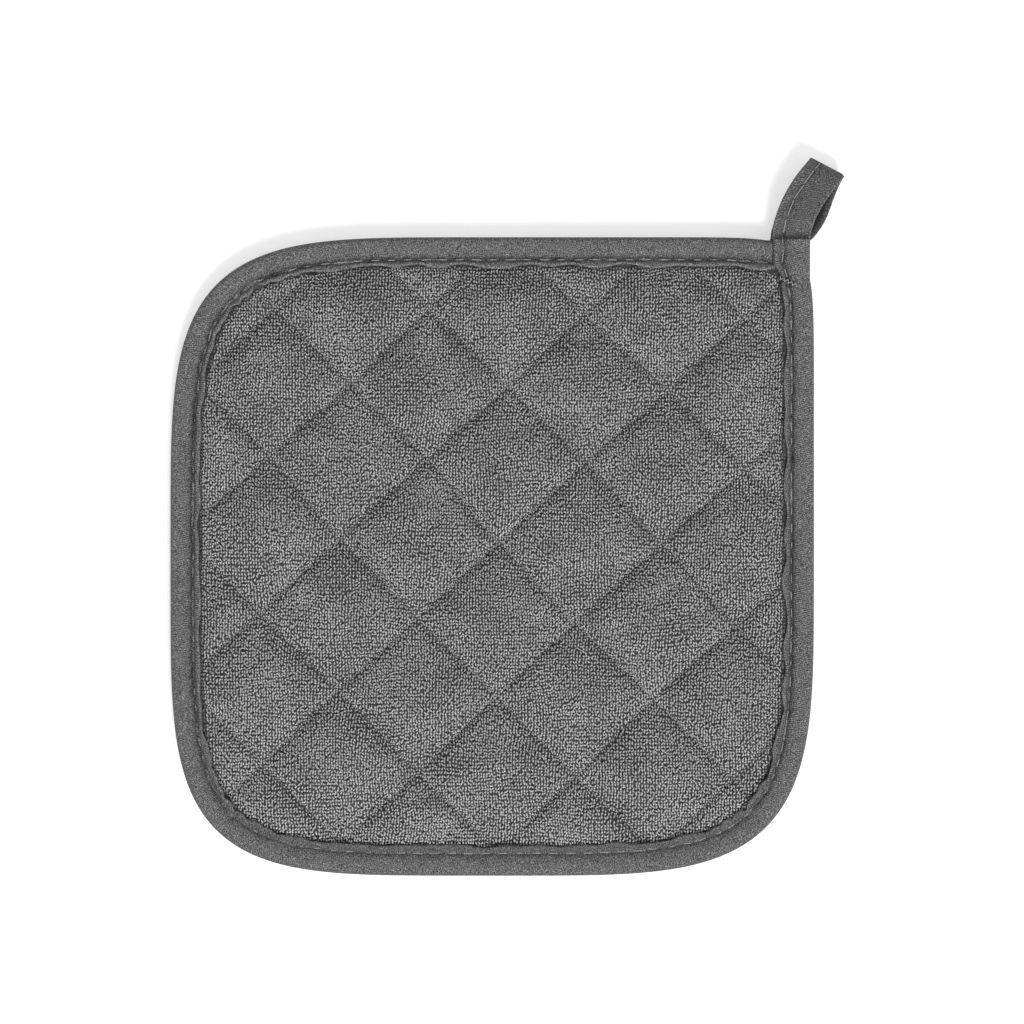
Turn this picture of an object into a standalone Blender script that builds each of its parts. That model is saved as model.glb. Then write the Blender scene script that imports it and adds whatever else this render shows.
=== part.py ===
"""Quilted pot holder with a taped edge and a hanging loop, lying flat. Metres, +Z up.

Two terry cloths hold a wadding between them. Quilting threads draw the three layers together along a
diamond grid, a folded tape binds the edge all round, and the tape's tail turns back as the loop.
"""

import math

import bmesh
import bpy
import numpy as np
from mathutils import Vector
from mathutils.geometry import delaunay_2d_cdt

# Outline of the taped edge
HALF_WIDTH = 0.1015
HALF_LENGTH = 0.1007
CORNER_POWER = {"right_top": 13.0, "left_top": 4.4, "left_bottom": 4.5, "right_bottom": 4.25}

# Cloth layers
CLOTH_WALL = 0.0009
WADDING_PRESSED = 0.0005
WADDING_FILL = 0.88
WADDING_RUN_IN = 0.020
LAYER_GAP = 0.0003
FRONT_PUFF = 0.0032
BACK_PUFF = 0.0042
PUFF_ROUNDNESS = 0.7
PUFF_RUN_IN = 0.012
PAD_MID_HEIGHT = 0.0049
EDGE_DROOP = 0.0006
DROOP_POWER = 4

# Diamond quilting
SEAM_COLUMN_STEP = 0.0249
SEAM_ROW_STEP = 0.0243
SEAM_START = Vector((0.0030, 0.0067))
SEAM_TURN = math.radians(-1.3)
CELL_SHARES = (0.0, 0.16, 0.38, 0.62, 0.84)
PUFF_TOP_SHARES = (0.38, 0.62)
CELL_CLEAR_OF_LIP = 0.0020
SEAM_CLEAR_OF_LIP = 0.0005
QUILTING_THREAD_RADIUS = 0.0002
THREAD_TURN_SHORT_OF_CROSSING = 0.0008
THREAD_CLEAR_OF_LIP = 0.0012
THREAD_SHORTEST = 0.006

# Edge tape
TAPE_WALL = 0.0006
TAPE_FACE = 0.0093
TAPE_FOLD_DEPTH = 0.0011
TAPE_FOLD_ROUNDING = 0.0004
SEAT_GAP = 0.0003
STITCH_GROOVE = 0.0002
STITCH_GROOVE_HALF_WIDTH = 0.0009
TAPE_STITCH_FROM_EDGE = 0.0072
TAPE_THREAD_RADIUS = 0.00025

# Corner strip, which is the tape running on past the corner over its own first end
STRIP_WIDTH = 0.0123
STRIP_STITCH_FROM_EDGE = 0.0088
STRIP_SLOT_HALF = 0.00015
STRIP_LEAVES_EDGE = 0.0136
STRIP_OPENS_OVER = 0.0038
STRIP_WIDENS_BELOW_TOP = 0.0126
STRIP_WIDENS_OVER = 0.0057
TAPE_END_IN_STRIP = 0.0040
TAPE_LEAVES_EDGE = 0.0015
CORNER_MID_HEIGHT = 0.0051
CORNER_LIFT_REACH = 0.030

# Hanging loop: the strip goes up, turns over and comes back under the corner
LOOP_REACH = 0.0227
LOOP_LEAN = 0.0114
LOOP_LEAN_POWER = 1.8
LOOP_TURN = math.radians(27.5)
LOOP_BOW = 0.0036
LOOP_BOW_POWER = 0.7
LOOP_TOP_HEIGHT = 0.0088
LOOP_UNDER_HEIGHT = 0.0016
LOOP_BEND_START = 0.78
LOOP_CLOSES_OVER = 0.0042
LOOP_RISES_FROM = 0.0022
LOOP_RISES_OVER = 0.0068
TAIL_HEIGHT = 0.0008
TAIL_REACH = 0.0145

# How finely the curves are drawn
TURN_STEP = math.radians(10.5)
RUN_STEP = 0.037
EDGE_SAMPLES = 1440
BISECTIONS = 16
CDT_INSIDE = 1
CDT_MERGE = 1e-7
SHARP_FROM = math.radians(40)
STRIP_STEPS = 5
LOOP_LEG_STEPS = 8
LOOP_BEND_STEPS = 7
TAIL_STEPS = 3

TERRY_GREY = (0.170, 0.170, 0.170)
TAPE_GREY = (0.135, 0.135, 0.135)
THREAD_GREY = (0.290, 0.290, 0.290)
WADDING_WHITE = (0.800, 0.790, 0.760)

# The layers where they are sewn flat, the channel that the tape makes for them, and the wider
# channel that the strip makes for the tape's first end
STACK_HALF = CLOTH_WALL + LAYER_GAP + WADDING_PRESSED / 2
CHANNEL_HALF = STACK_HALF + SEAT_GAP
NEST_HALF = CHANNEL_HALF + TAPE_WALL + SEAT_GAP
PAD_INSET = TAPE_WALL + TAPE_FOLD_ROUNDING + SEAT_GAP
LIP_INSET = TAPE_FACE + SEAT_GAP


def smooth_step(value, low, high):
    share = min(max((value - low) / (high - low), 0.0), 1.0)
    return share * share * (3 - 2 * share)


def turned(point, angle):
    c = math.cos(angle)
    s = math.sin(angle)
    return Vector((c * point.x - s * point.y, s * point.x + c * point.y))


def corner_power(x, y):
    side = "right" if x > 0 else "left"
    end = "top" if y > 0 else "bottom"
    return CORNER_POWER[f"{side}_{end}"]


def outward_share(x, y):
    """How far out a point is, from 0 in the middle to 1 on the outline."""
    power = corner_power(x, y)
    return (abs(x / HALF_WIDTH) ** power + abs(y / HALF_LENGTH) ** power) ** (1 / power)


def edge_normal(point):
    """The outward direction of the outline at one of its points."""
    power = corner_power(point.x, point.y)
    across = math.copysign(abs(point.x / HALF_WIDTH) ** (power - 1), point.x) / HALF_WIDTH
    along = math.copysign(abs(point.y / HALF_LENGTH) ** (power - 1), point.y) / HALF_LENGTH
    return Vector((across, along)).normalized()


def edge_point(angle, inset=0.0):
    """A point of the outline seen from the middle at an angle, moved inwards by an inset."""
    c = math.cos(angle)
    s = math.sin(angle)
    point = Vector((c, s)) / outward_share(c, s)
    return point - edge_normal(point) * inset


def edge_angles(first, last):
    """Angles round the outline, close together where it turns and far apart where it runs straight."""
    kept = [first]
    for angle in np.linspace(first, last, EDGE_SAMPLES)[1:-1]:
        a = edge_point(kept[-1])
        b = edge_point(angle)
        turned = edge_normal(a).angle(edge_normal(b))
        if turned / TURN_STEP + (b - a).length / RUN_STEP >= 1.0:
            kept.append(float(angle))
    if last - kept[-1] < (kept[-1] - kept[-2]) / 2:
        kept.pop()
    return kept + [last]


def left_over(share, power):
    """The other coordinate's share of its half at a point of the outline."""
    return (1 - share**power) ** (1 / power)


# Where the strip stands on the corner
STRIP_ROOT_Y = HALF_LENGTH - STRIP_LEAVES_EDGE
STRIP_FOLD_X = HALF_WIDTH * left_over(STRIP_ROOT_Y / HALF_LENGTH, CORNER_POWER["right_top"])
STRIP_MIDDLE_X = STRIP_FOLD_X - STRIP_WIDTH / 2
TAPE_FIRST_X = STRIP_FOLD_X - STRIP_WIDTH - TAPE_LEAVES_EDGE
CORNER_TOP_Y = HALF_LENGTH * left_over(TAPE_FIRST_X / HALF_WIDTH, CORNER_POWER["right_top"])

EDGE_LINE = np.array([edge_point(angle) for angle in np.linspace(0, math.tau, EDGE_SAMPLES)])


def edge_distance(x, y):
    return float(np.hypot(EDGE_LINE[:, 0] - x, EDGE_LINE[:, 1] - y).min())


def mid_height(x, y):
    """The height of the pad's middle layer: it droops to its edge and is lifted at the strip's corner."""
    plain = PAD_MID_HEIGHT - EDGE_DROOP * min(outward_share(x, y), 1.0) ** DROOP_POWER
    away = math.hypot(x - STRIP_MIDDLE_X, y - CORNER_TOP_Y) / CORNER_LIFT_REACH
    return plain + (CORNER_MID_HEIGHT - plain) * math.exp(-away * away)


def puff(x, y, reach=PUFF_RUN_IN):
    """How far a point has puffed up between the seams, from 0 on a seam or at the tape to 1."""
    place = turned(Vector((x, y)) - SEAM_START, -SEAM_TURN)
    column = place.x / SEAM_COLUMN_STEP
    row = place.y / SEAM_ROW_STEP
    cell = abs(math.sin(math.pi * (row + column) / 2) * math.sin(math.pi * (row - column) / 2))
    run_in = min(max((edge_distance(x, y) - LIP_INSET) / reach, 0.0), 1.0)
    return cell**PUFF_ROUNDNESS * (1 - (1 - run_in) ** 2)


def front_top(x, y):
    return mid_height(x, y) + STACK_HALF + FRONT_PUFF * puff(x, y)


def front_under(x, y):
    return front_top(x, y) - CLOTH_WALL


def back_under(x, y):
    """The back puffs are pressed flat where the pad lies on them, at height 0."""
    return max(mid_height(x, y) - STACK_HALF - BACK_PUFF * puff(x, y), 0.0)


def back_top(x, y):
    return back_under(x, y) + CLOTH_WALL


def wadding_top(x, y):
    fill = WADDING_FILL * puff(x, y, WADDING_RUN_IN)
    return mid_height(x, y) + WADDING_PRESSED / 2 + FRONT_PUFF * fill


def wadding_under(x, y):
    fill = WADDING_FILL * puff(x, y, WADDING_RUN_IN)
    rest = CLOTH_WALL + LAYER_GAP
    return max(mid_height(x, y) - WADDING_PRESSED / 2 - BACK_PUFF * fill, rest)


def crossing(column, row):
    """A point of the seam grid: seams cross where column and row add up to an even number."""
    return SEAM_START + turned(Vector((SEAM_COLUMN_STEP * column, SEAM_ROW_STEP * row)), SEAM_TURN)


def on_pad(point, clear):
    """Whether a point shows inside the tape's lip, clear of it by a distance."""
    return outward_share(*point) < 1 and edge_distance(*point) > LIP_INSET + clear


def where_it_leaves(shown, hidden, clear):
    """The point between a shown and a hidden one that is just clear of the lip."""
    for _ in range(BISECTIONS):
        middle = (shown + hidden) / 2
        if on_pad(middle, clear):
            shown = middle
        else:
            hidden = middle
    return shown


def ring_edges(first, count):
    return [(first + i, first + (i + 1) % count) for i in range(count)]


def seam_steps(lines):
    """Every step along every seam of the grid, as two neighbouring places."""
    for near, far in zip(lines, lines[1:]):
        for seam in lines:
            if seam[1] == 0.0:
                yield (near, seam), (far, seam)
                yield (seam, near), (seam, far)


def grid_point(place):
    rising = sum(place[0])
    falling = sum(place[1])
    return crossing(rising - falling, rising + falling)


def quilted_plan(seam_shares, inner_shares):
    """The pad's plan as triangles: a flat border under the tape, then seam points and points between."""
    angles = edge_angles(0, math.tau)[:-1]
    points = [edge_point(angle, PAD_INSET) for angle in angles]
    points += [edge_point(angle, LIP_INSET) for angle in angles]
    edges = ring_edges(0, len(angles)) + ring_edges(len(angles), len(angles))
    cells = int(2 * HALF_WIDTH / min(SEAM_COLUMN_STEP, SEAM_ROW_STEP)) + 1
    lines = [(cell, share) for cell in range(-cells, cells) for share in seam_shares]
    numbers = {}
    for rising in lines:
        for falling in lines:
            shares = (rising[1], falling[1])
            used = 0.0 in shares or all(share in inner_shares for share in shares)
            point = grid_point((rising, falling))
            if used and on_pad(point, CELL_CLEAR_OF_LIP):
                numbers[rising, falling] = len(points)
                points.append(point)
    for a, b in seam_steps(lines):
        if a in numbers and b in numbers:
            edges.append((numbers[a], numbers[b]))
        elif a in numbers or b in numbers:
            shown, hidden = (a, b) if a in numbers else (b, a)
            edges.append((numbers[shown], len(points)))
            points.append(where_it_leaves(grid_point(shown), grid_point(hidden), SEAM_CLEAR_OF_LIP))
    found = delaunay_2d_cdt(points, edges, [], CDT_INSIDE, CDT_MERGE)
    return found[0], found[2]


def add_layer(name, plan, under, top, material, collection):
    """A closed layer over a plan, between two surfaces given as heights."""
    points, triangles = plan
    shape = bmesh.new()
    lower = [shape.verts.new((*point, under(*point))) for point in points]
    faces = [shape.faces.new([lower[i] for i in triangle]) for triangle in triangles]
    raised = bmesh.ops.extrude_face_region(shape, geom=faces, use_keep_orig=True)
    for vert in raised["geom"]:
        if isinstance(vert, bmesh.types.BMVert):
            vert.co.z = top(vert.co.x, vert.co.y)
    return add_object(name, shape, material, collection)


def add_object(name, shape, material, collection):
    bmesh.ops.recalc_face_normals(shape, faces=shape.faces)
    mesh = bpy.data.meshes.new(name)
    shape.to_mesh(mesh)
    shape.free()
    mesh.shade_smooth()
    mesh.set_sharp_from_angle(angle=SHARP_FROM)
    made = bpy.data.objects.new(name, mesh)
    made.data.materials.append(material)
    collection.objects.link(made)
    return made


class Station:
    """One cross-section of the tape: its fold line, the way its face lies and how far it stands open."""

    def __init__(self, fold, inward, face, half_slot, stitch, up=None):
        self.fold = fold
        self.inward = inward
        self.face = face
        self.half_slot = half_slot
        self.stitch = stitch
        self.up = up

    def place(self, across, raised):
        point = self.fold + self.inward * across
        if self.up:
            return point + self.up * raised
        return Vector((point.x, point.y, mid_height(point.x, point.y) + raised))

    def section(self):
        """The folded section from the top lip round the fold to the bottom lip and back inside."""
        half = self.half_slot + TAPE_WALL
        rounding = min(TAPE_FOLD_ROUNDING, self.half_slot / 2)
        groove = half - STITCH_GROOVE
        top = [(self.face, half), (self.stitch, groove), (self.stitch - STITCH_GROOVE_HALF_WIDTH, half)]
        fold = []
        for turn in (90, 45, 0, -45, -90):
            angle = math.radians(turn)
            fold.append((TAPE_FOLD_DEPTH * (1 - math.cos(angle)), half * math.sin(angle)))
        bottom = [(across, -raised) for across, raised in reversed(top)]
        inner = [(TAPE_WALL, self.half_slot - rounding), (TAPE_WALL + rounding, self.half_slot)]
        inner.append((self.face, self.half_slot))
        inside = [(across, -raised) for across, raised in reversed(inner)] + inner
        return [self.place(*corner) for corner in top + fold + bottom + inside]


def edge_stations():
    """The tape from its first end, hidden in the strip, round the edge to the strip's root."""
    end_x = STRIP_FOLD_X - TAPE_END_IN_STRIP
    down = Vector((0, -1, 0))
    common = (TAPE_FACE, CHANNEL_HALF, TAPE_STITCH_FROM_EDGE)
    hidden = [end_x, (end_x + TAPE_FIRST_X) / 2]
    stations = [Station(Vector((x, CORNER_TOP_Y, 0)), down, *common) for x in hidden]
    first = math.atan2(CORNER_TOP_Y, TAPE_FIRST_X)
    last = math.tau + math.atan2(STRIP_ROOT_Y, STRIP_FOLD_X)
    for angle in edge_angles(first, last):
        point = edge_point(angle)
        inward = -edge_normal(point)
        stations.append(Station(point.to_3d(), inward.to_3d(), *common))
    return stations, len(hidden)


def strip_stations():
    """The strip up the corner: it opens over the tape's first end and widens to its full fold."""
    stations = []
    widens_from = CORNER_TOP_Y - STRIP_WIDENS_BELOW_TOP
    for y in np.linspace(STRIP_ROOT_Y, CORNER_TOP_Y + SEAT_GAP, STRIP_STEPS)[1:]:
        opened = smooth_step(y, STRIP_ROOT_Y, STRIP_ROOT_Y + STRIP_OPENS_OVER)
        widened = smooth_step(y, widens_from, widens_from + STRIP_WIDENS_OVER)
        face = TAPE_FACE + (STRIP_WIDTH - TAPE_FACE) * widened
        half_slot = CHANNEL_HALF + (NEST_HALF - CHANNEL_HALF) * opened
        stitch = TAPE_STITCH_FROM_EDGE + (STRIP_STITCH_FROM_EDGE - TAPE_STITCH_FROM_EDGE) * widened
        stations.append(Station(Vector((STRIP_FOLD_X, y, 0)), Vector((-1, 0, 0)), face, half_slot, stitch))
    return stations


def loop_line():
    """The loop's middle line with its turn and its opening: front leg, bend, back leg and tail."""
    top_rise = LOOP_TOP_HEIGHT - CORNER_MID_HEIGHT
    bend_middle = (LOOP_TOP_HEIGHT + LOOP_UNDER_HEIGHT) / 2
    bend_half = (LOOP_TOP_HEIGHT - LOOP_UNDER_HEIGHT) / 2
    line = []
    for share in np.linspace(SEAT_GAP / LOOP_REACH, LOOP_BEND_START, LOOP_LEG_STEPS)[1:]:
        out = share * LOOP_REACH
        risen = smooth_step(out, LOOP_RISES_FROM, LOOP_RISES_FROM + LOOP_RISES_OVER)
        closed = smooth_step(out, SEAT_GAP, LOOP_CLOSES_OVER)
        half_slot = NEST_HALF + (STRIP_SLOT_HALF - NEST_HALF) * closed
        line.append((share, 0.0, CORNER_MID_HEIGHT + top_rise * risen, half_slot))
    for angle in np.linspace(math.pi / 2, -math.pi / 2, LOOP_BEND_STEPS + 1)[1:]:
        share = LOOP_BEND_START + (1 - LOOP_BEND_START) * math.cos(angle)
        under = (1 - math.sin(angle)) / 2
        line.append((share, under, bend_middle + bend_half * math.sin(angle), STRIP_SLOT_HALF))
    for share in np.linspace(LOOP_BEND_START, 0, LOOP_LEG_STEPS)[1:]:
        low = smooth_step(share, 0, LOOP_BEND_START)
        height = TAIL_HEIGHT + (LOOP_UNDER_HEIGHT - TAIL_HEIGHT) * low
        line.append((share, 1.0, height, STRIP_SLOT_HALF))
    for share in np.linspace(0, -TAIL_REACH / LOOP_REACH, TAIL_STEPS + 1)[1:]:
        line.append((share, 1.0, TAIL_HEIGHT, STRIP_SLOT_HALF))
    return line


def loop_stations():
    line = loop_line()
    middles = []
    for share, under, height, _ in line:
        out = max(share, 0.0)
        bow = LOOP_BOW * under * math.sin(math.pi * out**LOOP_BOW_POWER)
        x = STRIP_MIDDLE_X + LOOP_LEAN * out**LOOP_LEAN_POWER + bow
        middles.append(Vector((x, CORNER_TOP_Y + LOOP_REACH * share, height)))
    stations = []
    for i, (share, _, _, half_slot) in enumerate(line):
        before = middles[max(i - 1, 0)]
        after = middles[min(i + 1, len(middles) - 1)]
        turn = LOOP_TURN * smooth_step(share, 0, LOOP_BEND_START)
        inward = Vector((-math.cos(turn), math.sin(turn), 0))
        up = (after - before).cross(inward).normalized()
        fold = middles[i] - inward * STRIP_WIDTH / 2
        stations.append(Station(fold, inward, STRIP_WIDTH, half_slot, STRIP_STITCH_FROM_EDGE, up))
    return stations


def add_tape(name, stations, material, collection):
    """The tape as one solid, lofted through its cross-sections."""
    shape = bmesh.new()
    rings = [[shape.verts.new(corner) for corner in station.section()] for station in stations]
    for near, far in zip(rings, rings[1:]):
        for i, corner in enumerate(near):
            after = (i + 1) % len(near)
            shape.faces.new((corner, near[after], far[after], far[i]))
    shape.faces.new(rings[0])
    shape.faces.new(rings[-1])
    return add_object(name, shape, material, collection)


def add_thread(name, points, radius, material, collection):
    curve = bpy.data.curves.new(name, "CURVE")
    curve.dimensions = "3D"
    curve.bevel_depth = radius
    curve.bevel_resolution = 0
    curve.use_fill_caps = True
    spline = curve.splines.new("POLY")
    spline.points.add(len(points) - 1)
    for spot, point in zip(spline.points, points):
        spot.co = (*point, 1.0)
    curve.materials.append(material)
    made = bpy.data.objects.new(name, curve)
    collection.objects.link(made)
    return made


def shown_runs(line, clear):
    """The stretches of a line that show inside the tape's lip."""
    runs = []
    run = []
    for before, after in zip(line, line[1:]):
        starts = on_pad(before, clear)
        ends = on_pad(after, clear)
        if starts and not run:
            run = [before]
        if ends and not starts:
            run = [where_it_leaves(after, before, clear)]
        if ends:
            run.append(after)
        elif starts:
            runs.append(run + [where_it_leaves(before, after, clear)])
            run = []
    return runs


def quilting_runs():
    """Zigzags down the pad, each between two columns of crossings, turning just short of each crossing."""
    columns = int(HALF_WIDTH / SEAM_COLUMN_STEP) + 1
    rows = int(HALF_LENGTH / SEAM_ROW_STEP) + 2
    runs = []
    for column in range(-columns, columns + 1):
        line = []
        for row in range(-rows, rows + 1):
            far = (column + row) % 2
            turn = crossing(column + far, row)
            turn.x += THREAD_TURN_SHORT_OF_CROSSING * (-1 if far else 1)
            if line:
                line.append((line[-1] + turn) / 2)
            line.append(turn)
        runs += shown_runs(line, THREAD_CLEAR_OF_LIP)
    return [run for run in runs if (run[0] - run[-1]).length > THREAD_SHORTEST]


def plain_material(name, colour, roughness):
    material = bpy.data.materials.new(name)
    material.use_nodes = True
    shader = material.node_tree.nodes["Principled BSDF"]
    shader.inputs["Base Color"].default_value = (*colour, 1.0)
    shader.inputs["Roughness"].default_value = roughness
    shader.inputs["Metallic"].default_value = 0.0
    return material


def clear_scene():
    for old in list(bpy.data.objects):
        bpy.data.objects.remove(old, do_unlink=True)


def shape_points(part, graph):
    """All the points of a part's finished surface, in world coordinates."""
    evaluated = part.evaluated_get(graph)
    mesh = evaluated.to_mesh()
    points = [tuple(evaluated.matrix_world @ vert.co) for vert in mesh.vertices]
    evaluated.to_mesh_clear()
    return points


def stand_on_origin(parts, collection):
    """Hang everything on an empty that puts the middle of the whole footprint over the origin."""
    bpy.context.view_layer.update()
    graph = bpy.context.evaluated_depsgraph_get()
    points = np.array([point for part in parts for point in shape_points(part, graph)])
    middle = (points.min(axis=0) + points.max(axis=0)) / 2
    base = bpy.data.objects.new("pot_holder_base", None)
    collection.objects.link(base)
    for part in parts:
        part.parent = base
    base.location = (-middle[0], -middle[1], -points[:, 2].min())


def build():
    clear_scene()
    collection = bpy.data.collections.new("pot_holder")
    bpy.context.scene.collection.children.link(collection)
    terry = plain_material("terry", TERRY_GREY, 0.95)
    back_terry = plain_material("back_terry", TERRY_GREY, 0.95)
    wadding = plain_material("wadding", WADDING_WHITE, 1.0)
    tape = plain_material("tape", TAPE_GREY, 0.85)
    tape_thread = plain_material("tape_thread", THREAD_GREY, 0.6)
    quilting_thread = plain_material("quilting_thread", TERRY_GREY, 0.6)

    cloth_plan = quilted_plan(CELL_SHARES, CELL_SHARES)
    wadding_plan = quilted_plan(CELL_SHARES, PUFF_TOP_SHARES)
    parts = [
        add_layer("front_cloth", cloth_plan, front_under, front_top, terry, collection),
        add_layer("wadding", wadding_plan, wadding_under, wadding_top, wadding, collection),
        add_layer("back_cloth", cloth_plan, back_under, back_top, back_terry, collection),
    ]

    edge, hidden_count = edge_stations()
    strip = strip_stations()
    loop = loop_stations()
    parts.append(add_tape("binding_tape", edge + strip + loop, tape, collection))

    over_tape = TAPE_WALL - STITCH_GROOVE + SEAT_GAP + TAPE_THREAD_RADIUS
    sewn = edge[hidden_count:] + strip + loop[: LOOP_LEG_STEPS - 1]
    line = [station.place(station.stitch, station.half_slot + over_tape) for station in sewn]
    parts.append(add_thread("binding_thread", line, TAPE_THREAD_RADIUS, tape_thread, collection))

    over_cloth = LAYER_GAP + QUILTING_THREAD_RADIUS
    for i, run in enumerate(quilting_runs()):
        line = [(x, y, front_top(x, y) + over_cloth) for x, y in run]
        name = f"quilting_thread_{i + 1:02d}"
        parts.append(add_thread(name, line, QUILTING_THREAD_RADIUS, quilting_thread, collection))

    stand_on_origin(parts, collection)


build()
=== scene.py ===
import math

import bpy
import numpy as np
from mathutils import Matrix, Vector


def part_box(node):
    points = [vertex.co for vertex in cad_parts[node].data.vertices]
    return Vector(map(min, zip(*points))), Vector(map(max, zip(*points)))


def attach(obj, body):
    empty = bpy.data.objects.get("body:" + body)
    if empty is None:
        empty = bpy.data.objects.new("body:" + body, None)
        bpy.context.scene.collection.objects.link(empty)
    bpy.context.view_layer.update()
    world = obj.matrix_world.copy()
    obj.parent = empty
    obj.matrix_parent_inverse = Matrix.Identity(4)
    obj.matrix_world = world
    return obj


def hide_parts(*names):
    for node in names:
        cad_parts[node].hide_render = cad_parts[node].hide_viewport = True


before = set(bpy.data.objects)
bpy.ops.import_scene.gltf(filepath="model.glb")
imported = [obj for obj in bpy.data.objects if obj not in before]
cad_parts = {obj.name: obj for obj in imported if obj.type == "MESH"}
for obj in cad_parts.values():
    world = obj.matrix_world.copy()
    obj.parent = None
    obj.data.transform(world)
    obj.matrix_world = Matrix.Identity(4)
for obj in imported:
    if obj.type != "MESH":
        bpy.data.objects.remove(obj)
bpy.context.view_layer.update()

# A quilted terry pot holder, lying flat, front up. The same outline, heights and tape route as the
# solids have are worked out here again, finer, and then dressed with pile, twill and single stitches.

mm = 0.001
scene = bpy.context.scene


# helpers for meshes


def smoothStep(value, low, high):
    share = np.clip((value - low) / (high - low), 0, 1)
    return share * share * (3 - 2 * share)


def bell(distance, width):
    # 1 at no distance, and soon 0 beyond the width
    return np.exp(-((distance / width) ** 2))


def unit(vectors):
    return vectors / np.linalg.norm(vectors, axis=-1, keepdims=True)


def lengthAlong(points):
    # how far along a line each of its points lies
    return np.concatenate([[0], np.cumsum(np.linalg.norm(np.diff(points, axis=0), axis=1))])



def ripple(x, y, seed, length, waves=14):
    # a soft random field of about -1 to 1, with hills about one length apart
    rng = np.random.default_rng(seed)
    total = np.zeros(np.broadcast(x, y).shape)
    for _ in range(waves):
        angle = rng.uniform(0, math.tau)
        step = math.tau / (length * rng.uniform(0.7, 1.5))
        total += np.sin((x * math.cos(angle) + y * math.sin(angle)) * step + rng.uniform(0, math.tau))
    return total / math.sqrt(waves)


def makePiece(name, points, faceSets, finish, marks=None):
    # a mesh from arrays: points, a few arrays of faces with equal corners, and marks kept on the points
    mesh = bpy.data.meshes.new(name)
    mesh.vertices.add(len(points))
    mesh.vertices.foreach_set("co", np.asarray(points, dtype=np.float32).ravel())
    corners = np.concatenate([np.asarray(faces).ravel() for faces in faceSets])
    totals = np.concatenate([np.full(len(faces), np.asarray(faces).shape[1]) for faces in faceSets])
    mesh.loops.add(len(corners))
    mesh.loops.foreach_set("vertex_index", corners.astype(np.int32))
    mesh.polygons.add(len(totals))
    starts = np.concatenate([[0], np.cumsum(totals)[:-1]])
    mesh.polygons.foreach_set("loop_start", starts.astype(np.int32))
    mesh.update(calc_edges=True)
    mesh.polygons.foreach_set("use_smooth", np.ones(len(totals), dtype=bool))
    for mark, values in (marks or {}).items():
        kept = mesh.attributes.new(mark, "FLOAT", "POINT")
        kept.data.foreach_set("value", np.asarray(values, dtype=np.float32).ravel())
    mesh.materials.append(finish)
    piece = bpy.data.objects.new(name, mesh)
    scene.collection.objects.link(piece)
    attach(piece, "root")
    return piece


def ringFaces(rings, around):
    # the quads between closed rings of points, counted ring by ring
    first = np.arange(rings - 1)[:, None] * around
    here = np.arange(around)[None, :]
    after = (here + 1) % around
    quads = np.stack([first + here, first + after, first + around + after, first + around + here], -1)
    return quads.reshape(-1, 4)


def tubes(paths, radii, sides, side=None, caps=True):
    # round threads along many paths that all have the same number of points
    count, steps, _ = paths.shape
    along = unit(np.gradient(paths, axis=1))
    if side is None:
        side = unit(np.cross(along, np.array([0.0, 0.0, 1.0])))
    else:
        side = np.broadcast_to(side[:, None, :], paths.shape)
    over = unit(np.cross(side, along))
    turn = np.arange(sides) * math.tau / sides + math.pi / 2
    radii = np.broadcast_to(radii, (count, steps))[:, :, None, None]
    ring = side[:, :, None, :] * np.cos(turn)[:, None] + over[:, :, None, :] * np.sin(turn)[:, None]
    points = (paths[:, :, None, :] + ring * radii).reshape(-1, 3)
    one = ringFaces(steps, sides)
    start = np.arange(count)[:, None, None] * steps * sides
    faceSets = [(one[None] + start).reshape(-1, 4)]
    if caps:
        first = np.arange(sides)[None]
        last = first[:, ::-1] + (steps - 1) * sides
        faceSets.append((np.concatenate([first, last])[None] + start).reshape(-1, sides))
    return points, faceSets


# helpers for materials


class Wire:
    # a socket that takes part in sums
    def __init__(self, nodes, socket):
        self.nodes = nodes
        self.socket = socket

    def maths(self, operation, first, second):
        return self.nodes.node("ShaderNodeMath", {"operation": operation}, {0: first, 1: second})

    def __add__(self, other):
        return self.maths("ADD", self, other)

    def __sub__(self, other):
        return self.maths("SUBTRACT", self, other)

    def __rsub__(self, other):
        return self.maths("SUBTRACT", other, self)

    def __mul__(self, other):
        return self.maths("MULTIPLY", self, other)

    __radd__ = __add__
    __rmul__ = __mul__


class Nodes:
    # the nodes of a material or a world
    def __init__(self, tree):
        self.tree = tree

    def join(self, value, socket):
        if isinstance(value, Wire):
            self.tree.links.new(value.socket, socket)
        else:
            socket.default_value = value

    def node(self, kind, settings, sockets, out=0):
        made = self.tree.nodes.new(kind)
        for key, value in settings.items():
            setattr(made, key, value)
        for key, value in sockets.items():
            self.join(value, made.inputs[key])
        return Wire(self, made.outputs[out])

    def seen(self):
        # 1 for what the camera sees, straight or by reflection or through glass
        rays = self.node("ShaderNodeLightPath", {}, {}, "Is Camera Ray")
        for ray in ("Is Glossy Ray", "Is Transmission Ray"):
            rays = rays.maths("MAXIMUM", rays, self.node("ShaderNodeLightPath", {}, {}, ray))
        return rays


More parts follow.
